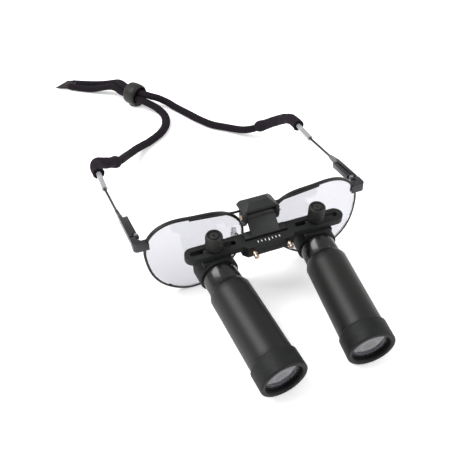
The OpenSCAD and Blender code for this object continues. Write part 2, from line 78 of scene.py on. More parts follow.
class StrapSettings(bpy.types.PropertyGroup):
    cord_width: bpy.props.FloatProperty(
        name="Cord half width",
        description="Half of the cord's width",
        default=3.4 * MM,
        unit="LENGTH",
    )
    cord_height: bpy.props.FloatProperty(
        name="Cord half height",
        description="Half of its thickness",
        default=2.7 * MM,
        unit="LENGTH",
    )
    lock_radius: bpy.props.FloatProperty(
        name="Lock radius",
        description="Outer radius of the lock",
        default=9.4 * MM,
        unit="LENGTH",
    )
    lock_half: bpy.props.FloatProperty(
        name="Lock half length",
        description="Half its length along the cords",
        default=6.0 * MM,
        unit="LENGTH",
    )
    sleeve_radius: bpy.props.FloatProperty(
        name="Sleeve radius",
        description="Radius of the sleeves",
        default=3.9 * MM,
        unit="LENGTH",
    )
    sleeve_wall: bpy.props.FloatProperty(
        name="Sleeve wall",
        description="Thickness at the open mouth",
        default=0.9 * MM,
        unit="LENGTH",
    )
    fabric: bpy.props.FloatVectorProperty(
        name="Fabric",
        description="Colour of the knitted cord",
        default=linear("1d181e"),
        subtype="COLOR",
    )
    rubber: bpy.props.FloatVectorProperty(
        name="Lock",
        description="Colour of the rubber lock",
        default=linear("191a16"),
        subtype="COLOR",
    )
    leather: bpy.props.FloatVectorProperty(
        name="Tab",
        description="Colour of the end tab",
        default=linear("1f1a19"),
        subtype="COLOR",
    )


class MetalSettings(bpy.types.PropertyGroup):
    wire: bpy.props.FloatVectorProperty(
        name="Wire",
        description="Lacquer of rims and bridge",
        default=linear("0b0a09"),
        subtype="COLOR",
    )
    temple: bpy.props.FloatVectorProperty(
        name="Temple",
        description="Gunmetal of temples and lugs",
        default=linear("414144"),
        subtype="COLOR",
    )
    clamp: bpy.props.FloatVectorProperty(
        name="Clamp",
        description="Anodised clamp and flip plate",
        default=linear("1d1e1e"),
        subtype="COLOR",
    )
    bar: bpy.props.FloatVectorProperty(
        name="Bar",
        description="Matt anodised bar",
        default=linear("121314"),
        subtype="COLOR",
    )
    brass: bpy.props.FloatVectorProperty(
        name="Brass",
        description="Machined brass screws",
        default=linear("cdb8a6"),
        subtype="COLOR",
    )
    marks: bpy.props.IntProperty(
        name="Marks",
        description="Number of marks in the printed scale",
        default=7,
        min=1,
    )
    ridges: bpy.props.IntProperty(
        name="Ridges",
        description="Ridges round each thumbscrew",
        default=56,
        min=8,
    )
    edge: bpy.props.FloatProperty(
        name="Edge",
        description="Radius of broken edges",
        default=0.25 * MM,
        unit="LENGTH",
    )


class OpticSettings(bpy.types.PropertyGroup):
    barrel: bpy.props.FloatVectorProperty(
        name="Barrel",
        description="Satin lacquer of the barrels",
        default=linear("0b0908"),
        subtype="COLOR",
    )
    neck: bpy.props.FloatVectorProperty(
        name="Neck",
        description="Gloss lacquer of the necks",
        default=linear("0e0e0f"),
        subtype="COLOR",
    )
    cap: bpy.props.FloatVectorProperty(
        name="Cap",
        description="Matt moulded caps",
        default=linear("090a0b"),
        subtype="COLOR",
    )
    # base colour of the glass; the painted reflections in rings are made from it
    glass: bpy.props.FloatVectorProperty(
        name="Coated glass",
        description="Bloom of the coated lenses",
        default=linear("6b6970"),
        subtype="COLOR",
    )


class StageSettings(bpy.types.PropertyGroup):
    floor: bpy.props.FloatVectorProperty(
        name="Floor",
        description="Colour of the floor",
        default=linear("f6f6f6"),
        subtype="COLOR",
    )
    key_power: bpy.props.FloatProperty(
        name="Key light",
        description="Watts of the key light",
        default=9.0,
    )
    world: bpy.props.FloatProperty(
        name="Surround",
        description="Strength of the surround",
        default=0.8,
    )
    focal: bpy.props.FloatProperty(
        name="Focal length",
        description="In millimetres",
        default=49.66,
    )


# ------------------------------------------------------------------ materials


def add_node(tree, kind, inputs=None, **settings):
    """Adds a node, sets its properties, and sets or links its inputs."""
    node = tree.nodes.new(kind)
    for name, value in settings.items():
        setattr(node, name, value)
    for name, value in (inputs or {}).items():
        if isinstance(value, bpy.types.NodeSocket):
            tree.links.new(value, node.inputs[name])
        else:
            node.inputs[name].default_value = value
    return node


def new_surface(name, **inputs):
    """A material with one Principled shader; returns it with its tree and shader."""
    material = bpy.data.materials.new(name)
    material.use_nodes = True
    tree = material.node_tree
    tree.nodes.clear()
    named = {key.replace("_", " "): value for key, value in inputs.items()}
    shader = add_node(tree, "ShaderNodeBsdfPrincipled", named)
    add_node(tree, "ShaderNodeOutputMaterial", {"Surface": shader.outputs["BSDF"]})
    return material, tree, shader


def opaque(colour):
    return (*colour, 1.0)


def object_noise(tree, size, detail=3.0, stretch=(1, 1, 1)):
    """Noise whose features are about size metres wide, in the piece's own place."""
    place = add_node(tree, "ShaderNodeTexCoord")
    mapping = add_node(
        tree, "ShaderNodeMapping", {"Vector": place.outputs["Object"], "Scale": stretch}
    )
    return add_node(
        tree,
        "ShaderNodeTexNoise",
        {"Vector": mapping.outputs["Vector"], "Scale": 1 / size, "Detail": detail},
    ).outputs["Fac"]


def vary_roughness(tree, shader, fac, low, high):
    spread = add_node(
        tree,
        "ShaderNodeMapRange",
        {"Value": fac, "From Min": 0.3, "From Max": 0.7, "To Min": low, "To Max": high},
    )
    tree.links.new(spread.outputs["Result"], shader.inputs["Roughness"])


def vary_colour(tree, shader, fac, low, high):
    ramp = add_node(tree, "ShaderNodeValToRGB", {"Fac": fac})
    ramp.color_ramp.elements[0].position = 0.3
    ramp.color_ramp.elements[0].color = opaque(low)
    ramp.color_ramp.elements[1].position = 0.7
    ramp.color_ramp.elements[1].color = opaque(high)
    tree.links.new(ramp.outputs["Color"], shader.inputs["Base Color"])


def bump(tree, shader, height, depth, strength=1.0):
    """Raises the surface by depth metres where height is 1."""
    raised = add_node(
        tree, "ShaderNodeBump", {"Height": height, "Distance": depth, "Strength": strength}
    )
    tree.links.new(raised.outputs["Normal"], shader.inputs["Normal"])


def shade(colour, factor):
    return tuple(min(1.0, c * factor) for c in colour)


def black_lacquered_wire(colour):
    """Monel wire dipped in black lacquer: narrow bright highlights, nearly smooth."""
    material, tree, shader = new_surface(
        "black_lacquered_wire", Specular_IOR_Level=0.3, Coat_Weight=0.15, Coat_Roughness=0.15
    )
    fac = object_noise(tree, 2 * MM)
    vary_colour(tree, shader, fac, shade(colour, 0.8), shade(colour, 1.3))
    vary_roughness(tree, shader, fac, 0.28, 0.42)
    return material


def gunmetal_plate(colour):
    """Nickel-silver plated dark grey: metallic, brushed along the temple."""
    material, tree, shader = new_surface("gunmetal_plate", Metallic=1.0)
    fac = object_noise(tree, 0.5 * MM, stretch=(6, 0.3, 6))
    vary_colour(tree, shader, fac, shade(colour, 0.75), shade(colour, 1.2))
    vary_roughness(tree, shader, fac, 0.25, 0.45)
    bump(tree, shader, fac, 0.02 * MM)
    return material


def turned_steel():
    """Stainless screws turned on a lathe: bright and slightly uneven."""
    material, tree, shader = new_surface("turned_steel", Metallic=1.0)
    fac = object_noise(tree, 0.4 * MM)
    vary_colour(tree, shader, fac, linear("8d8e92"), linear("c4c5c8"))
    vary_roughness(tree, shader, fac, 0.18, 0.34)
    return material


def machined_brass(colour):
    """Free-cutting brass, a little tarnished: warm, with bright worn edges."""
    material, tree, shader = new_surface("machined_brass", Metallic=1.0)
    fac = object_noise(tree, 0.6 * MM)
    vary_colour(tree, shader, fac, shade(colour, 0.55), shade(colour, 1.1))
    vary_roughness(tree, shader, fac, 0.2, 0.4)
    bump(tree, shader, fac, 0.02 * MM)
    return material


def anodised_clamp(colour):
    """Bead-blasted aluminium with a thin dark anodised skin: satin and even."""
    material, tree, shader = new_surface("anodised_clamp", Metallic=0.2, Specular_IOR_Level=0.35)
    fine = object_noise(tree, 0.35 * MM, detail=4.0)
    broad = object_noise(tree, 6 * MM)
    vary_colour(tree, shader, broad, shade(colour, 0.85), shade(colour, 1.12))
    vary_roughness(tree, shader, fine, 0.42, 0.58)
    bump(tree, shader, fine, 0.03 * MM)
    return material


def matt_anodised_bar(colour):
    """Tumbled aluminium, hard anodised black: matt with a fine peppered grain."""
    material, tree, shader = new_surface("matt_anodised_bar", Specular_IOR_Level=0.25)
    fine = object_noise(tree, 0.45 * MM, detail=5.0)
    vary_colour(tree, shader, fine, shade(colour, 0.75), shade(colour, 1.35))
    vary_roughness(tree, shader, fine, 0.5, 0.7)
    bump(tree, shader, fine, 0.05 * MM)
    return material


def worn_black_knurl(colour):
    """Black anodised knurling, rubbed a little grey in places."""
    material, tree, shader = new_surface("worn_black_knurl", Metallic=0.15, Specular_IOR_Level=0.3)
    fac = object_noise(tree, 0.8 * MM)
    vary_colour(tree, shader, fac, colour, linear("2a2927"))
    vary_roughness(tree, shader, fac, 0.38, 0.6)
    return material


def gloss_black_lacquer(colour):
    """Stoved gloss enamel on the sliding neck: a deep coat with faint handling marks."""
    material, tree, shader = new_surface(
        "gloss_black_lacquer",
        Base_Color=opaque(colour),
        Specular_IOR_Level=0.3,
        Coat_Weight=0.3,
        Coat_Roughness=0.14,
    )
    fac = object_noise(tree, 3 * MM)
    vary_roughness(tree, shader, fac, 0.18, 0.34)
    return material


def satin_black_lacquer(colour):
    """Satin spray lacquer on aluminium tube: soft long highlights, warm black."""
    material, tree, shader = new_surface(
        "satin_black_lacquer", Specular_IOR_Level=0.28, Coat_Weight=0.1, Coat_Roughness=0.35
    )
    fine = object_noise(tree, 0.5 * MM, detail=4.0)
    broad = object_noise(tree, 14 * MM, stretch=(1, 0.4, 1))
    vary_colour(tree, shader, broad, shade(colour, 0.8), shade(colour, 1.35))
    vary_roughness(tree, shader, fine, 0.42, 0.54)
    bump(tree, shader, fine, 0.015 * MM)
    return material


def moulded_cap(colour):
    """Glass-filled nylon straight from the mould: matt, slightly mottled."""
    material, tree, shader = new_surface("moulded_cap", Specular_IOR_Level=0.25)
    fine = object_noise(tree, 0.6 * MM, detail=5.0)
    broad = object_noise(tree, 5 * MM)
    vary_colour(tree, shader, broad, shade(colour, 0.8), shade(colour, 1.7))
    vary_roughness(tree, shader, fine, 0.5, 0.68)
    bump(tree, shader, fine, 0.04 * MM)
    return material


def plano_lens():
    """Polished CR-39 spectacle lens with an edge-to-edge hard coat."""
    material, tree, shader = new_surface(
        "plano_lens",
        Base_Color=opaque(linear("bcbcc1")),
        IOR=1.5,
        Transmission_Weight=1.0,
        Coat_Weight=0.3,
        Coat_Roughness=0.02,
    )
    smear = object_noise(tree, 12 * MM)
    vary_roughness(tree, shader, smear, 0.0, 0.015)
    return material


def coated_glass(name, colour, centre, along, reach):
    """Crown glass, anti-reflection coated: a lilac bloom with painted reflections in rings round the optical axis.

    It is opaque here: the rings are painted reflections that stand for the lenses seen behind the real one."""
    material, tree, shader = new_surface(
        name, IOR=1.52, Specular_IOR_Level=0.4, Coat_Weight=0.6, Coat_Roughness=0.05
    )
    place = add_node(tree, "ShaderNodeTexCoord")
    offset = add_node(
        tree,
        "ShaderNodeVectorMath",
        {0: place.outputs["Object"], 1: tuple(centre)},
        operation="SUBTRACT",
    )
    square = add_node(
        tree,
        "ShaderNodeVectorMath",
        {0: offset.outputs["Vector"], 1: tuple(along)},
        operation="CROSS_PRODUCT",
    )
    away = add_node(
        tree, "ShaderNodeVectorMath", {0: square.outputs["Vector"]}, operation="LENGTH"
    )
    share = add_node(
        tree, "ShaderNodeMath", {0: away.outputs["Value"], 1: reach}, operation="DIVIDE"
    )
    ramp = add_node(tree, "ShaderNodeValToRGB", {"Fac": share.outputs[0]})
    # brighter and darker rings round the axis: painted reflections of the lenses behind
    rings = (
        (0.0, 0.42), (0.3, 0.5), (0.44, 0.8), (0.5, 0.55), (0.66, 0.55),
        (0.76, 1.1), (0.82, 0.6), (0.93, 0.4), (1.0, 0.15),
    )
    bands = ramp.color_ramp.elements
    while len(bands) < len(rings):
        bands.new(0.5)
    for band, (position, strength) in zip(bands, rings):
        band.position = position
        band.color = opaque(shade(colour, strength))
    tree.links.new(ramp.outputs["Color"], shader.inputs["Base Color"])
    vary_roughness(tree, shader, object_noise(tree, 9 * MM), 0.04, 0.12)
    return material


def clear_acetate():
    """Extruded clear acetate over the wire core: bright streaks along its length."""
    material, tree, shader = new_surface(
        "clear_acetate",
        Base_Color=opaque(linear("a9abae")),
        IOR=1.47,
        Transmission_Weight=0.4,
        Coat_Weight=0.6,
        Coat_Roughness=0.05,
    )
    vary_roughness(tree, shader, object_noise(tree, 2 * MM, stretch=(4, 0.3, 4)), 0.05, 0.16)
    return material


def clear_silicone():
    """Moulded silicone pads: translucent, soft and a little dusty."""
    material, tree, shader = new_surface(
        "clear_silicone",
        Base_Color=opaque(linear("e6e7e6")),
        IOR=1.41,
        Transmission_Weight=0.7,
    )
    vary_roughness(tree, shader, object_noise(tree, 1 * MM), 0.2, 0.35)
    return material


def moulded_rubber(colour):
    """Nitrile rubber lock: matt with a soft sheen where fingers squeeze it."""
    material, tree, shader = new_surface("moulded_rubber", Specular_IOR_Level=0.3)
    fine = object_noise(tree, 0.5 * MM, detail=4.0)
    broad = object_noise(tree, 6 * MM)
    vary_colour(tree, shader, broad, shade(colour, 0.75), shade(colour, 1.35))
    vary_roughness(tree, shader, fine, 0.4, 0.6)
    bump(tree, shader, fine, 0.04 * MM)
    return material


def stitched_leather(colour):
    """Dyed split leather: grained, darker in its pores."""
    material, tree, shader = new_surface("stitched_leather", Specular_IOR_Level=0.25)
    place = add_node(tree, "ShaderNodeTexCoord")
    pores = add_node(
        tree, "ShaderNodeTexVoronoi", {"Vector": place.outputs["Object"], "Scale": 1 / (0.9 * MM)}
    )
    height = pores.outputs["Distance"]
    vary_colour(tree, shader, height, shade(colour, 1.25), shade(colour, 0.7))
    vary_roughness(tree, shader, height, 0.5, 0.72)
    bump(tree, shader, height, 0.12 * MM)
    return material


def knitted_cord(colour, name, rib):
    """Tubular polyester knit: matt ribs along the cord, crossed by rows of loops, with painted shade in the dips
    between them.

    The loops are drawn about twice as coarse as real ones so that they show."""
    material, tree, shader = new_surface(
        name, Specular_IOR_Level=0.1, Sheen_Weight=0.05, Sheen_Tint=opaque(linear("857a8c"))
    )
    uv = add_node(tree, "ShaderNodeUVMap", uv_map="along")
    waves = []
    for turn in (rib, -rib):
        mapping = add_node(
            tree,
            "ShaderNodeMapping",
            {"Vector": uv.outputs["UV"], "Rotation": (0, 0, math.radians(turn))},
        )
        wave = add_node(
            tree,
            "ShaderNodeTexWave",
            {"Vector": mapping.outputs["Vector"], "Scale": 1 / (3.2 * MM), "Distortion": 0.6},
        )
        waves.append(wave.outputs["Fac"])
    loops = add_node(
        tree, "ShaderNodeMath", {0: waves[0], 1: waves[1]}, operation="MULTIPLY"
    ).outputs[0]
    fuzz = object_noise(tree, 0.7 * MM, detail=6.0)
    height = add_node(tree, "ShaderNodeMath", {0: loops, 1: fuzz}, operation="ADD").outputs[0]
    broad = object_noise(tree, 9 * MM)
    # colour darkest where the loops dip: painted shade between the loops; the broad noise adds random tone
    tone = add_node(
        tree, "ShaderNodeMath", {0: broad, 1: loops, 2: 0.25}, operation="MULTIPLY_ADD"
    ).outputs[0]
    mixed = add_node(tree, "ShaderNodeMath", {0: tone, 1: 0.5}, operation="MULTIPLY").outputs[0]
    vary_colour(tree, shader, mixed, shade(colour, 0.7), shade(colour, 1.6))
    vary_roughness(tree, shader, fuzz, 0.8, 0.95)
    bump(tree, shader, height, 0.16 * MM)
    return material


def printed_scale():
    """Screen-printed white ink, slightly broken by the grain beneath."""
    material, tree, shader = new_surface("printed_scale")
    fac = object_noise(tree, 0.5 * MM)
    vary_colour(tree, shader, fac, linear("cfcfcf"), linear("f4f4f4"))
    vary_roughness(tree, shader, fac, 0.45, 0.6)
    return material


def floor_paper(colour):
    """Seamless matt background paper, made to glow a little so that shadows stay thin."""
    material, tree, shader = new_surface(
        "floor_paper", Specular_IOR_Level=0.1, Emission_Color=opaque(colour), Emission_Strength=0.3
    )
    fac = object_noise(tree, 40 * MM)
    vary_colour(tree, shader, fac, shade(colour, 0.99), colour)
    vary_roughness(tree, shader, fac, 0.9, 1.0)
    return material


# ------------------------------------------------------------------ mesh helpers


def keep(mesh, name, material, body=None, sharp=40, nodes=()):
    """Turns a bmesh into a finished object that rides on a body and stands for nodes."""
    if not mesh.faces:
        raise RuntimeError(f"{name} came out with no faces")
    data = bpy.data.meshes.new(name)
    mesh.to_mesh(data)
    mesh.free()
    data.shade_smooth()
    data.set_sharp_from_angle(angle=math.radians(sharp))
    data.materials.append(material)
    piece = bpy.data.objects.new(name, data)
    bpy.context.scene.collection.objects.link(piece)
    if body:
        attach(piece, body)
    if nodes:
        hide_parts(*nodes)
    return piece


def dress(material, *nodes):
    """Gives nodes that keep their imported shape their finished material."""
    for name in nodes:
        data = frame["nodes"][name].data
        data.materials.clear()
        data.materials.append(material)


def both(*names):
    return [f"{name}_{side}" for name in names for side in SIDES]


def body_of(node):
    bodies = frame["record"]["behaviour"]["bodies"]
    return next(body for body, members in bodies.items() if node in members)


def eased(node, material, edge, steps=2, corner=28, merge=True):
    """A copy of a node with its edges broken and, with merge, its flat facets joined first."""
    mesh = bmesh.new()
    mesh.from_mesh(frame["nodes"][node].data)
    bmesh.ops.remove_doubles(mesh, verts=mesh.verts, dist=0.002 * MM)
    if merge:
        bmesh.ops.dissolve_limit(
            mesh, angle_limit=math.radians(0.5), verts=mesh.verts, edges=mesh.edges
        )
    bmesh.ops.dissolve_degenerate(mesh, dist=0.005 * MM, edges=mesh.edges)
    edges = [e for e in mesh.edges if e.is_manifold and e.calc_face_angle() > math.radians(corner)]
    bmesh.ops.bevel(
        mesh,
        geom=edges,
        offset=edge,
        segments=steps,
        profile=0.5,
        affect="EDGES",
        clamp_overlap=True,
        material=-1,
    )
    return keep(mesh, f"{node}_eased", material, body_of(node), 50, [node])


def joint(name):
    return next(j for j in frame["joints"] if j["name"] == name)


def axis_frame(name):
    """Place of a joint: its own point, with z along its axis and x to the wearer's left."""
    found = joint(name)
    along = Vector(found["axis"]).normalized()
    across = Vector((1, 0, 0))
    across = (across - along * across.dot(along)).normalized()
    turn = Matrix((across, along.cross(across), along)).transposed()
    return Matrix.Translation(found["pos_m"]) @ turn.to_4x4()


def lathe(profile, steps):
    """Spins an (r, z) profile in millimetres right round z, with z up."""
    mesh = bmesh.new()
    verts = [mesh.verts.new((r * MM, 0, z * MM)) for r, z in profile]
    edges = [mesh.edges.new(pair) for pair in zip(verts, verts[1:])]
    bmesh.ops.spin(
        mesh,
        geom=verts + edges,
        cent=(0, 0, 0),
        axis=(0, 0, 1),
        angle=2 * math.pi,
        steps=steps,
        use_merge=True,
    )
    bmesh.ops.remove_doubles(mesh, verts=mesh.verts, dist=0.001 * MM)
    bmesh.ops.recalc_face_normals(mesh, faces=mesh.faces)
    return mesh


def flowing(route, step=1.0 * MM):
    """A smooth centreline through the route's points, about step apart."""
    points = [Vector(p) * MM for p in route]
    ends = [2 * points[0] - points[1], *points, 2 * points[-1] - points[-2]]
    line = []
    for a, b, c, d in zip(ends, ends[1:], ends[2:], ends[3:]):
        count = max(2, round((c - b).length / step))
        for i in range(count):
            t = i / count
            line.append(
                0.5
                * (
                    2 * b
                    + (c - a) * t
                    + (2 * a - 5 * b + 4 * c - d) * t**2
                    + (3 * b - a - 3 * c + d) * t**3
                )
            )
    line.append(points[-1])
    return line


def length_of(line):
    return sum((b - a).length for a, b in zip(line, line[1:]))


def tube(line, radius_at, sides=24, closed=True, level=False):
    """A tube round a centreline; radius_at(distance, angle) gives its radius.

    Angle 0 drifts with the line, or with level it always points sideways."""
    mesh = bmesh.new()
    uv = mesh.loops.layers.uv.new("along")
    rings = []
    distances = []
    travelled = 0.0
    side = None
    for i, point in enumerate(line):
        ahead = (line[min(i + 1, len(line) - 1)] - line[max(i - 1, 0)]).normalized()
        if level:
            side = ahead.cross((0, 0, 1))
        side = ahead.orthogonal() if side is None else side - ahead * side.dot(ahead)
        side.normalize()
        up = ahead.cross(side)
        travelled += (point - line[i - 1]).length if i else 0.0
        distances.append(travelled)
        ring = []
        for k in range(sides):
            turn = 2 * math.pi * k / sides
            radius = radius_at(travelled, turn)
            offset = side * math.cos(turn) + up * math.sin(turn)
            ring.append(mesh.verts.new(point + offset * radius))
        rings.append(ring)
    around = 2 * math.pi * radius_at(distances[-1] / 2, 0.0)
    for i, (low, high) in enumerate(zip(rings, rings[1:])):
        for k in range(sides):
            after = (k + 1) % sides
            face = mesh.faces.new((low[k], low[after], high[after], high[k]))
            places = ((i, k), (i, k + 1), (i + 1, k + 1), (i + 1, k))
            for loop, (row, column) in zip(face.loops, places):
                loop[uv].uv = (distances[row], around * column / sides)
    if closed:
        mesh.faces.new(rings[0][::-1])
        mesh.faces.new(rings[-1])
    bmesh.ops.recalc_face_normals(mesh, faces=mesh.faces)
    return mesh


def merge_volume(piece, voxel, passes):
    """Fuses overlapping shells into one skin, then softens the seams."""
    remesh = piece.modifiers.new("fuse", "REMESH")
    remesh.mode = "VOXEL"
    remesh.voxel_size = voxel
    remesh.use_smooth_shade = True
    smooth = piece.modifiers.new("soften", "SMOOTH")
    smooth.iterations = passes
    graph = bpy.context.evaluated_depsgraph_get()
    finished = bpy.data.meshes.new_from_object(piece.evaluated_get(graph))
    piece.modifiers.clear()
    piece.data = finished
    finished.shade_smooth()


# ------------------------------------------------------------------ strap routes, in millimetres

CORD_ROUTES = {
    "right": [
        (-53.5, 99.1, 18.7), (-50, 105, 16), (-46, 112, 13), (-40.5, 120.5, 9.5),
        (-34, 129, 6.5), (-27, 136, 4.2), (-20, 141.5, 2.8), (-9.5, 149.5, 2.8),
        (-2.5, 159, 2.8), (1, 170, 2.8), (1.2, 179.5, 3.2), (-2.6, 188.6, 5.2),
        (-8.2, 196, 7.2), (-11.9, 201.9, 7.7), (-15.7, 209, 7.7), (-19, 215.2, 7.7),
        (-22.3, 221.4, 7.7), (-24.4, 227.6, 8.1), (-27.6, 233.4, 8.2), (-32.2, 237.9, 7.2),
        (-37.2, 242, 5.4), (-42.4, 246.4, 3.6), (-48, 251, 2.8), (-55, 256.5, 2.8),
        (-61.5, 262.5, 2.8),
    ],
    "left": [
        (65.1, 108.6, 14.8), (61, 112.5, 11.5), (55.5, 117, 8), (50.5, 123, 5.2),
        (46.5, 129.5, 3.4), (40.5, 136.5, 2.8), (32.5, 144.5, 2.8), (26, 156, 2.8),
        (20, 170.5, 2.8), (14.2, 184.5, 2.9), (9.4, 192, 5), (3, 196.4, 8.2),
        (-3.6, 199, 10.6), (-8.2, 203.9, 11.3), (-11.9, 211, 11.3), (-15.2, 217.2, 11.3),
        (-18.5, 223.4, 11.3), (-20, 230.2, 11), (-21.6, 237.6, 9.4), (-24.4, 244.6, 6.6),
        (-28.6, 250.2, 4.2), (-34, 254.2, 3), (-40, 257.2, 2.8), (-46, 260.4, 2.8),
        (-51.6, 263.8, 2.8), (-57.5, 267.5, 2.8),
    ],
}
SLEEVE_ROUTES = {
    "right": [
        (-71.5, 70, 32), (-71.7, 77.5, 32), (-70.5, 83.5, 31), (-66.5, 87, 28.5),
        (-62, 90.5, 25), (-58, 94.5, 22), (-54, 98.5, 19),
    ],
    "left": [
        (71.5, 70, 32), (71.7, 78.5, 31.6), (71.5, 85.5, 29.6), (71, 92, 26.2),
        (70, 98, 22.4), (68, 103.5, 18.6), (65.3, 108.3, 15),
        (61.5, 112.2, 11.9), (58.2, 114.8, 9.8),
    ],
}
LOCK_CENTRE = Vector((-13.8, 210, 9.5)) * MM
LOCK_YAW = math.radians(28)
LOCK_ROLL = math.radians(40)
# How deep the sleeves' mouths are open, and the size of the cords' crease, as a share of
# their radius and in radians round them
MOUTH_DEPTH = 9 * MM
CREASE_DEPTH = 0.09
CREASE_WIDTH = 0.22
# Corners of the end tab on the table: two beside the cords, then two at its far edge
TAB_CORNERS = ((-57, 258), (-52.5, 268.5), (-61, 277), (-73.5, 267.5))


# ------------------------------------------------------------------ operators


class LOUPES_OT_stage(bpy.types.Operator):
    """Camera, pale floor and soft studio light"""

    bl_idname = "loupes.stage"
    bl_label = "Stage"

    def execute(self, context):
        settings = context.scene.loupes_stage
        camera = bpy.data.objects.new("camera", bpy.data.cameras.new("camera"))
        context.scene.collection.objects.link(camera)
        context.scene.camera = camera
        camera.data.sensor_width = 36
        camera.data.lens = settings.focal
        camera.data.clip_start = 0.01
        ahead = Vector(CAMERA_AHEAD).normalized()
        up = Vector(CAMERA_UP)
        right = ahead.cross(up).normalized()
        turn = Matrix((right, right.cross(ahead), -ahead)).transposed().to_4x4()
        camera.matrix_world = Matrix.Translation(Vector(CAMERA_PLACE) * MM) @ turn

        mesh = bmesh.new()
        bmesh.ops.create_grid(mesh, x_segments=2, y_segments=2, size=3.0)
        paper = keep(mesh, "floor", floor_paper(settings.floor))

        world = bpy.data.worlds.new("surround")
        world.use_nodes = True
        world.node_tree.nodes.clear()
        glow = add_node(
            world.node_tree,
            "ShaderNodeBackground",
            {"Color": (1, 1, 1, 1), "Strength": settings.world},
        )
        add_node(
            world.node_tree, "ShaderNodeOutputWorld", {"Surface": glow.outputs["Background"]}
        )
        context.scene.world = world
        context.scene.view_settings.view_transform = "Standard"
        lamps = (
            ("key", (-0.5, 0.2, 0.8), 0.6, settings.key_power),
            ("fill", (0.7, -0.5, 0.6), 0.5, settings.key_power * 0.4),
        )
        for name, place, size, power in lamps:
            lamp = bpy.data.lights.new(name, "AREA")
            lamp.energy = power
            lamp.size = size
            holder = bpy.data.objects.new(name, lamp)
            holder.location = place
            aim = Vector((0, 0, 0.02)) - Vector(place)
            holder.rotation_mode = "QUATERNION"
            holder.rotation_quaternion = aim.to_track_quat("-Z", "Y")
            context.scene.collection.objects.link(holder)
        return {"FINISHED"}


class LOUPES_OT_cords(bpy.types.Operator):
    """The two soft cords, from the sleeves to the end tab"""

    bl_idname = "loupes.cords"
    bl_label = "Cords"

    def execute(self, context):
        settings = context.scene.loupes_strap
        fabric = knitted_cord(settings.fabric, "knitted_cord", 38)
        for side, route in CORD_ROUTES.items():
            line = flowing(route)

            def flattened(distance, turn):
                """Oval, a little uneven, with a crease that wanders along the top."""
                across = math.cos(turn) / settings.cord_width
                up = math.sin(turn) / settings.cord_height
                drift = noise.noise(Vector((distance * 60, math.cos(turn), len(side))))
                crease = 2.1 + 0.9 * noise.noise(Vector((distance * 40, 7, len(side))))
                gap = math.remainder(turn - crease, 2 * math.pi)
                dent = CREASE_DEPTH * math.exp(-((gap / CREASE_WIDTH) ** 2))
                return (0.99 + 0.02 * drift - dent) / math.hypot(across, up)

            mesh = tube(line, flattened, 36, level=True)
            name = f"cord_{side}"
            piece = keep(mesh, f"{name}_knit", fabric, None, 60, [name])
            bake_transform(piece)
        return {"FINISHED"}


class LOUPES_OT_sleeves(bpy.types.Operator):
    """The knitted sleeves that grip the temple tips"""

    bl_idname = "loupes.sleeves"
    bl_label = "Sleeves"

    def execute(self, context):
        settings = context.scene.loupes_strap
        fabric = knitted_cord(shade(settings.fabric, 1.4), "knitted_sleeve", 45)
        for side, route in SLEEVE_ROUTES.items():
            outer = flowing(route, 0.7 * MM)
            total = length_of(outer)
            inner = [p for p in outer if (p - outer[0]).length < MOUTH_DEPTH]

            def creased(along, turn):
                """Wrinkled, flared at the mouth, swollen before its closed end."""
                wrinkle = noise.noise(
                    Vector((along * 180, math.cos(turn) * 0.8, math.sin(turn) * 0.8 + len(side)))
                )
                closing = min(1.0, (total - along) / (2.0 * MM))
                mouth = math.exp(-along / (1.2 * MM))
                bulge = math.exp(-(((total - along - 4 * MM) / (3.2 * MM)) ** 2))
                swell = 0.97 + 0.09 * wrinkle + 0.06 * mouth + 0.16 * bulge
                radius = settings.sleeve_radius * swell
                return radius * (0.78 + 0.22 * math.sqrt(max(0.0, closing)))

            mesh = self.hollow(outer, inner, creased, settings.sleeve_radius - settings.sleeve_wall)
            node = f"tip_sleeve_{side}"
            body = f"temple_{side}"
            keep(mesh, f"{node}_knit", fabric, body, 70, [node])
        return {"FINISHED"}

    def hollow(self, outer, inner, radius_at, bore):
        """An outer skin that turns in at its mouth and runs back to a closed bottom."""
        skin = tube(outer, radius_at, 28, closed=False)
        lining = tube(inner, lambda distance, turn: bore, 28, closed=False)
        data = bpy.data.meshes.new("lining")
        lining.to_mesh(data)
        lining.free()
        skin.from_mesh(data)
        bpy.data.meshes.remove(data)
        start = outer[0]
        ahead = (outer[1] - outer[0]).normalized()
        rims = [
            e
            for e in skin.edges
            if e.is_boundary and all(abs((v.co - start).dot(ahead)) < 0.2 * MM for v in e.verts)
        ]
        bmesh.ops.bridge_loops(skin, edges=rims)
        bmesh.ops.holes_fill(skin, edges=skin.edges, sides=0)
        bmesh.ops.recalc_face_normals(skin, faces=skin.faces)
        return skin


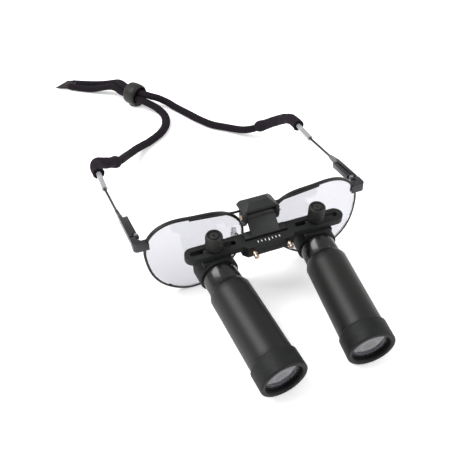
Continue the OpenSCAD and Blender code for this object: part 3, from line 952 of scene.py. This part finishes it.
class LOUPES_OT_cord_lock(bpy.types.Operator):
    """The rubber bead that slides on both cords"""

    bl_idname = "loupes.cord_lock"
    bl_label = "Cord lock"

    def execute(self, context):
        settings = context.scene.loupes_strap
        hole_half = settings.cord_width + 0.35 * MM
        # a little over half of the distance between the two cords' middles
        reach = 3.1 * MM
        mesh = bmesh.new()
        section = bmesh.ops.create_circle(mesh, segments=32, radius=1.0)["verts"]
        bmesh.ops.rotate(mesh, verts=section, matrix=Matrix.Rotation(math.pi / 2, 3, "X"))
        bmesh.ops.translate(mesh, verts=section, vec=(3, 0, 0))
        bmesh.ops.spin(
            mesh,
            geom=mesh.verts[:] + mesh.edges[:],
            cent=(0, 0, 0),
            axis=(0, 0, 1),
            angle=2 * math.pi,
            steps=64,
            use_merge=True,
        )
        for vert in mesh.verts:
            turn = math.atan2(vert.co.y, vert.co.x)
            side = math.hypot(vert.co.x, vert.co.y) - 3
            hole = self.hole_edge(turn, reach, hole_half)
            middle = (settings.lock_radius + hole) / 2
            full = (settings.lock_radius - hole) / 2
            plump = math.copysign(abs(side) ** 0.8, side)
            radius = middle + full * plump
            height = math.copysign(abs(vert.co.z) ** 0.75, vert.co.z) * settings.lock_half
            vert.co = (radius * math.cos(turn), radius * math.sin(turn), height)
        bmesh.ops.recalc_face_normals(mesh, faces=mesh.faces)
        roll = Matrix.Rotation(-LOCK_ROLL, 4, "Y") @ Matrix.Rotation(math.pi / 2, 4, "X")
        bmesh.ops.transform(mesh, matrix=roll, verts=mesh.verts)
        bmesh.ops.create_cone(
            mesh,
            cap_ends=True,
            segments=40,
            radius1=5.4 * MM,
            radius2=7.6 * MM,
            depth=5.0 * MM,
            matrix=Matrix.Translation((0, 0, 2.6 * MM - LOCK_CENTRE.z)),
        )
        place = Matrix.Translation(LOCK_CENTRE) @ Matrix.Rotation(LOCK_YAW, 4, "Z")
        bmesh.ops.transform(mesh, matrix=place, verts=mesh.verts)
        rubber = moulded_rubber(settings.rubber)
        piece = keep(mesh, "cord_lock_rubber", rubber, None, 80, ["cord_lock"])
        merge_volume(piece, 0.35 * MM, 6)
        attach(piece, "lock")
        return {"FINISHED"}

    def hole_edge(self, turn, reach, radius):
        """Distance from the middle to the edge of the round-ended slot, in one direction."""
        across, up = abs(math.cos(turn)), abs(math.sin(turn))
        if up * reach > radius * across:
            return radius / up
        return reach * across + math.sqrt(max(0.0, radius**2 - (reach * up) ** 2))


class LOUPES_OT_end_tab(bpy.types.Operator):
    """The leather tab that closes over both cord ends; its stitches are not made"""

    bl_idname = "loupes.end_tab"
    bl_label = "End tab"

    def execute(self, context):
        settings = context.scene.loupes_strap
        corners = [Vector(p) * MM for p in TAB_CORNERS]
        mesh = bmesh.new()
        bmesh.ops.create_grid(mesh, x_segments=20, y_segments=20, size=1.0)
        for vert in mesh.verts:
            s, t = (vert.co.x + 1) / 2, (vert.co.y + 1) / 2
            low = corners[0].lerp(corners[3], s)
            high = corners[1].lerp(corners[2], s)
            point = low.lerp(high, t)
            vert.co = (point.x, point.y, 2.7 * MM)
        bmesh.ops.solidify(mesh, geom=mesh.faces[:], thickness=0.2 * MM)
        for vert in mesh.verts:
            s, t = self.share(vert.co, corners)
            rounded = (1 - (2 * t - 1) ** 4) ** 0.5 if abs(2 * t - 1) < 1 else 0.0
            ending = (1 - max(0.0, s) ** 6) ** 0.5 if s < 1 else 0.0
            half = (2.6 - 1.2 * s) * MM * max(0.28, rounded * ending)
            centre = (2.7 - 1.0 * s) * MM
            above = vert.co.z > 2.7 * MM + 0.05 * MM or vert.normal.z > 0.5
            vert.co.z = centre + (half if above else -half)
        bmesh.ops.recalc_face_normals(mesh, faces=mesh.faces)
        leather = stitched_leather(settings.leather)
        keep(mesh, "end_tab_leather", leather, "front", 60, ["end_tab"])
        return {"FINISHED"}

    def share(self, point, corners):
        """Where a point lies between the tab's cord edge and far edge, and across it."""
        best = None
        for i in range(21):
            for k in range(21):
                s, t = i / 20, k / 20
                low = corners[0].lerp(corners[3], s)
                high = corners[1].lerp(corners[2], s)
                gap = (low.lerp(high, t) - Vector((point.x, point.y))).length
                if best is None or gap < best[0]:
                    best = (gap, s, t)
        return best[1], best[2]


class LOUPES_OT_spectacles(bpy.types.Operator):
    """Rims, bridge, brow bar, lugs, lenses, pads and temples"""

    bl_idname = "loupes.spectacles"
    bl_label = "Spectacle frame"

    def execute(self, context):
        metals = context.scene.loupes_metals
        wire = black_lacquered_wire(metals.wire)
        plate = gunmetal_plate(metals.temple)
        steel = turned_steel()
        for node in both("rim"):
            eased(node, wire, 0.45 * MM, 3, corner=45)
        dress(wire, "nose_bridge", "brow_bar", "pad_arms")
        for node in both("end_piece", "spring_box", "temple_arm"):
            eased(node, plate, 0.3 * MM)
        dress(steel, "frame_screws", *both("hinge_plunger", "hinge_spring"))
        dress(plano_lens(), *both("lens"))
        eased("nose_pads", clear_silicone(), 0.8 * MM, 3)
        dress(clear_acetate(), *both("temple_tip"))
        return {"FINISHED"}


class LOUPES_OT_clamp(bpy.types.Operator):
    """Hood, back plate, flip plate and their pins and screws"""

    bl_idname = "loupes.clamp"
    bl_label = "Clamp and flip plate"

    def execute(self, context):
        metals = context.scene.loupes_metals
        clamp = anodised_clamp(metals.clamp)
        eased("clamp_hood", clamp, 0.45 * MM, 3)
        eased("clamp_back_plate", clamp, metals.edge)
        eased("flip_plate", clamp, metals.edge)
        # the same steel as the spectacle frame's screws
        steel = bpy.data.materials["turned_steel"]
        dress(steel, "clamp_screws", "flip_hinge_pin", "declination_pin")
        brass = machined_brass(metals.brass)
        for node in ("hinge_end_screws", "bar_screws"):
            eased(node, brass, 0.12 * MM)
        return {"FINISHED"}


class LOUPES_OT_bar(bpy.types.Operator):
    """The slotted bar, with a small printed scale on its middle"""

    bl_idname = "loupes.bar"
    bl_label = "Slotted bar"

    def execute(self, context):
        metals = context.scene.loupes_metals
        black = matt_anodised_bar(metals.bar)
        eased("cross_bar", black, 0.5 * MM, 3)
        for node in both("scope_bracket"):
            eased(node, black, metals.edge)
        for side in SIDES:
            dress(black, f"knob_washer_{side}")
        self.scale_marks(metals)
        return {"FINISHED"}

    def scale_marks(self, metals):
        """Plain marks printed on the strip in front of the flip plate's foot."""
        place = axis_frame("knob_turn_right")
        middle = -joint("knob_turn_right")["pos_m"][0]
        bar_top = -3.0 * MM
        mesh = bmesh.new()
        for i in range(metals.marks):
            offset = i - (metals.marks - 1) / 2
            length = 2.0 if offset == 0 else 1.3
            size = Matrix.Diagonal((0.38 * MM, length * MM, 0.03 * MM, 1))
            spot = Vector((middle + offset * 2.1 * MM, (-3.4 - length / 2) * MM, bar_top))
            bmesh.ops.create_cube(mesh, size=1, matrix=Matrix.Translation(spot) @ size)
        bmesh.ops.transform(mesh, matrix=place, verts=mesh.verts)
        keep(mesh, "scale_marks", printed_scale(), "bar")


class LOUPES_OT_knobs(bpy.types.Operator):
    """The knurled thumbscrews"""

    bl_idname = "loupes.knobs"
    bl_label = "Thumbscrews"

    def execute(self, context):
        ridges = context.scene.loupes_metals.ridges
        half_groove = 0.09 * MM
        black = worn_black_knurl(linear("141414"))
        # (radius, height) in millimetres, from the stud's foot to the dimple on top
        profile = [
            (0, -8.0), (1.0, -8.0), (1.0, -2.15), (3.9, -2.15), (4.45, -1.9), (4.75, -1.5),
            (4.75, 5.9), (4.6, 6.5), (4.35, 6.95), (4.0, 7.2), (3.75, 7.2), (3.6, 7.05),
            (3.5, 6.3), (3.3, 6.1), (2.55, 6.1), (2.4, 6.25), (2.25, 6.85), (2.0, 7.0),
            (0.95, 7.0), (0.75, 6.8), (0.4, 6.0), (0, 5.8),
        ]
        for side in SIDES:
            mesh = lathe(profile, ridges * 4)
            for vert in mesh.verts:
                if -1.6 * MM < vert.co.z < 6.2 * MM and vert.co.xy.length > 4.5 * MM:
                    turn = math.atan2(vert.co.y, vert.co.x)
                    groove = half_groove * (1 - math.cos(turn * ridges))
                    vert.co.xy *= 1 - groove / vert.co.xy.length
            name = f"thumb_knob_{side}"
            bmesh.ops.transform(mesh, matrix=axis_frame(f"knob_turn_{side}"), verts=mesh.verts)
            keep(mesh, f"{name}_knurled", black, f"knob_{side}", 45, [name])
        return {"FINISHED"}


class LOUPES_OT_telescopes(bpy.types.Operator):
    """Necks, barrels, caps and eyepiece rings"""

    bl_idname = "loupes.telescopes"
    bl_label = "Telescopes"

    def execute(self, context):
        optics = context.scene.loupes_optics
        neck = gloss_black_lacquer(optics.neck)
        barrel = satin_black_lacquer(optics.barrel)
        cap = moulded_cap(optics.cap)
        for node in both("neck_tube"):
            eased(node, neck, 0.1 * MM, 1, merge=False)
        for node in both("barrel"):
            eased(node, barrel, 0.3 * MM, merge=False)
        for node in both("objective_cap", "eyepiece_ring"):
            eased(node, cap, 0.3 * MM, merge=False)
        # the parts inside have the bar's black finish
        inner = bpy.data.materials["matt_anodised_bar"]
        dress(inner, *both("prism_cell", "objective_ring"))
        for side in SIDES:
            turning = joint(f"focus_turn_{side}")
            centre, along = Vector(turning["pos_m"]), Vector(turning["axis"]).normalized()
            points = [v.co for v in frame["nodes"][f"objective_lens_{side}"].data.vertices]
            reach = max((point - centre).cross(along).length for point in points)
            # opaque glass with painted reflections in rings round the axis
            glass = coated_glass(f"coated_glass_{side}", optics.glass, centre, along, reach)
            for node in ("objective_lens", "eyepiece_lenses", "prisms"):
                dress(glass, f"{node}_{side}")
        return {"FINISHED"}


class LOUPES_PT_panel(bpy.types.Panel):
    """Lists the steps that finish the loupes"""

    bl_idname = "LOUPES_PT_panel"
    bl_label = "Dental loupes"
    bl_space_type = "VIEW_3D"
    bl_region_type = "UI"
    bl_category = "Loupes"

    def draw(self, context):
        for settings in ("strap", "metals", "optics", "stage"):
            group = getattr(context.scene, f"loupes_{settings}")
            for name in group.__annotations__:
                self.layout.prop(group, name)
        for step in STEPS:
            self.layout.operator(step.bl_idname)


SETTINGS = {
    "loupes_strap": StrapSettings,
    "loupes_metals": MetalSettings,
    "loupes_optics": OpticSettings,
    "loupes_stage": StageSettings,
}
STEPS = (
    LOUPES_OT_stage,
    LOUPES_OT_cord_lock,
    LOUPES_OT_end_tab,
    LOUPES_OT_cords,
    LOUPES_OT_sleeves,
    LOUPES_OT_spectacles,
    LOUPES_OT_clamp,
    LOUPES_OT_bar,
    LOUPES_OT_knobs,
    LOUPES_OT_telescopes,
)


def register():
    for made in (*SETTINGS.values(), *STEPS, LOUPES_PT_panel):
        bpy.utils.register_class(made)
    for name, group in SETTINGS.items():
        setattr(bpy.types.Scene, name, bpy.props.PointerProperty(type=group))


def unregister():
    for name in SETTINGS:
        delattr(bpy.types.Scene, name)
    for made in (LOUPES_PT_panel, *STEPS[::-1], *SETTINGS.values()):
        bpy.utils.unregister_class(made)


def main():
    register()
    for step in STEPS:
        group, name = step.bl_idname.split(".")
        getattr(getattr(bpy.ops, group), name)()


if __name__ == "__main__":
    main()
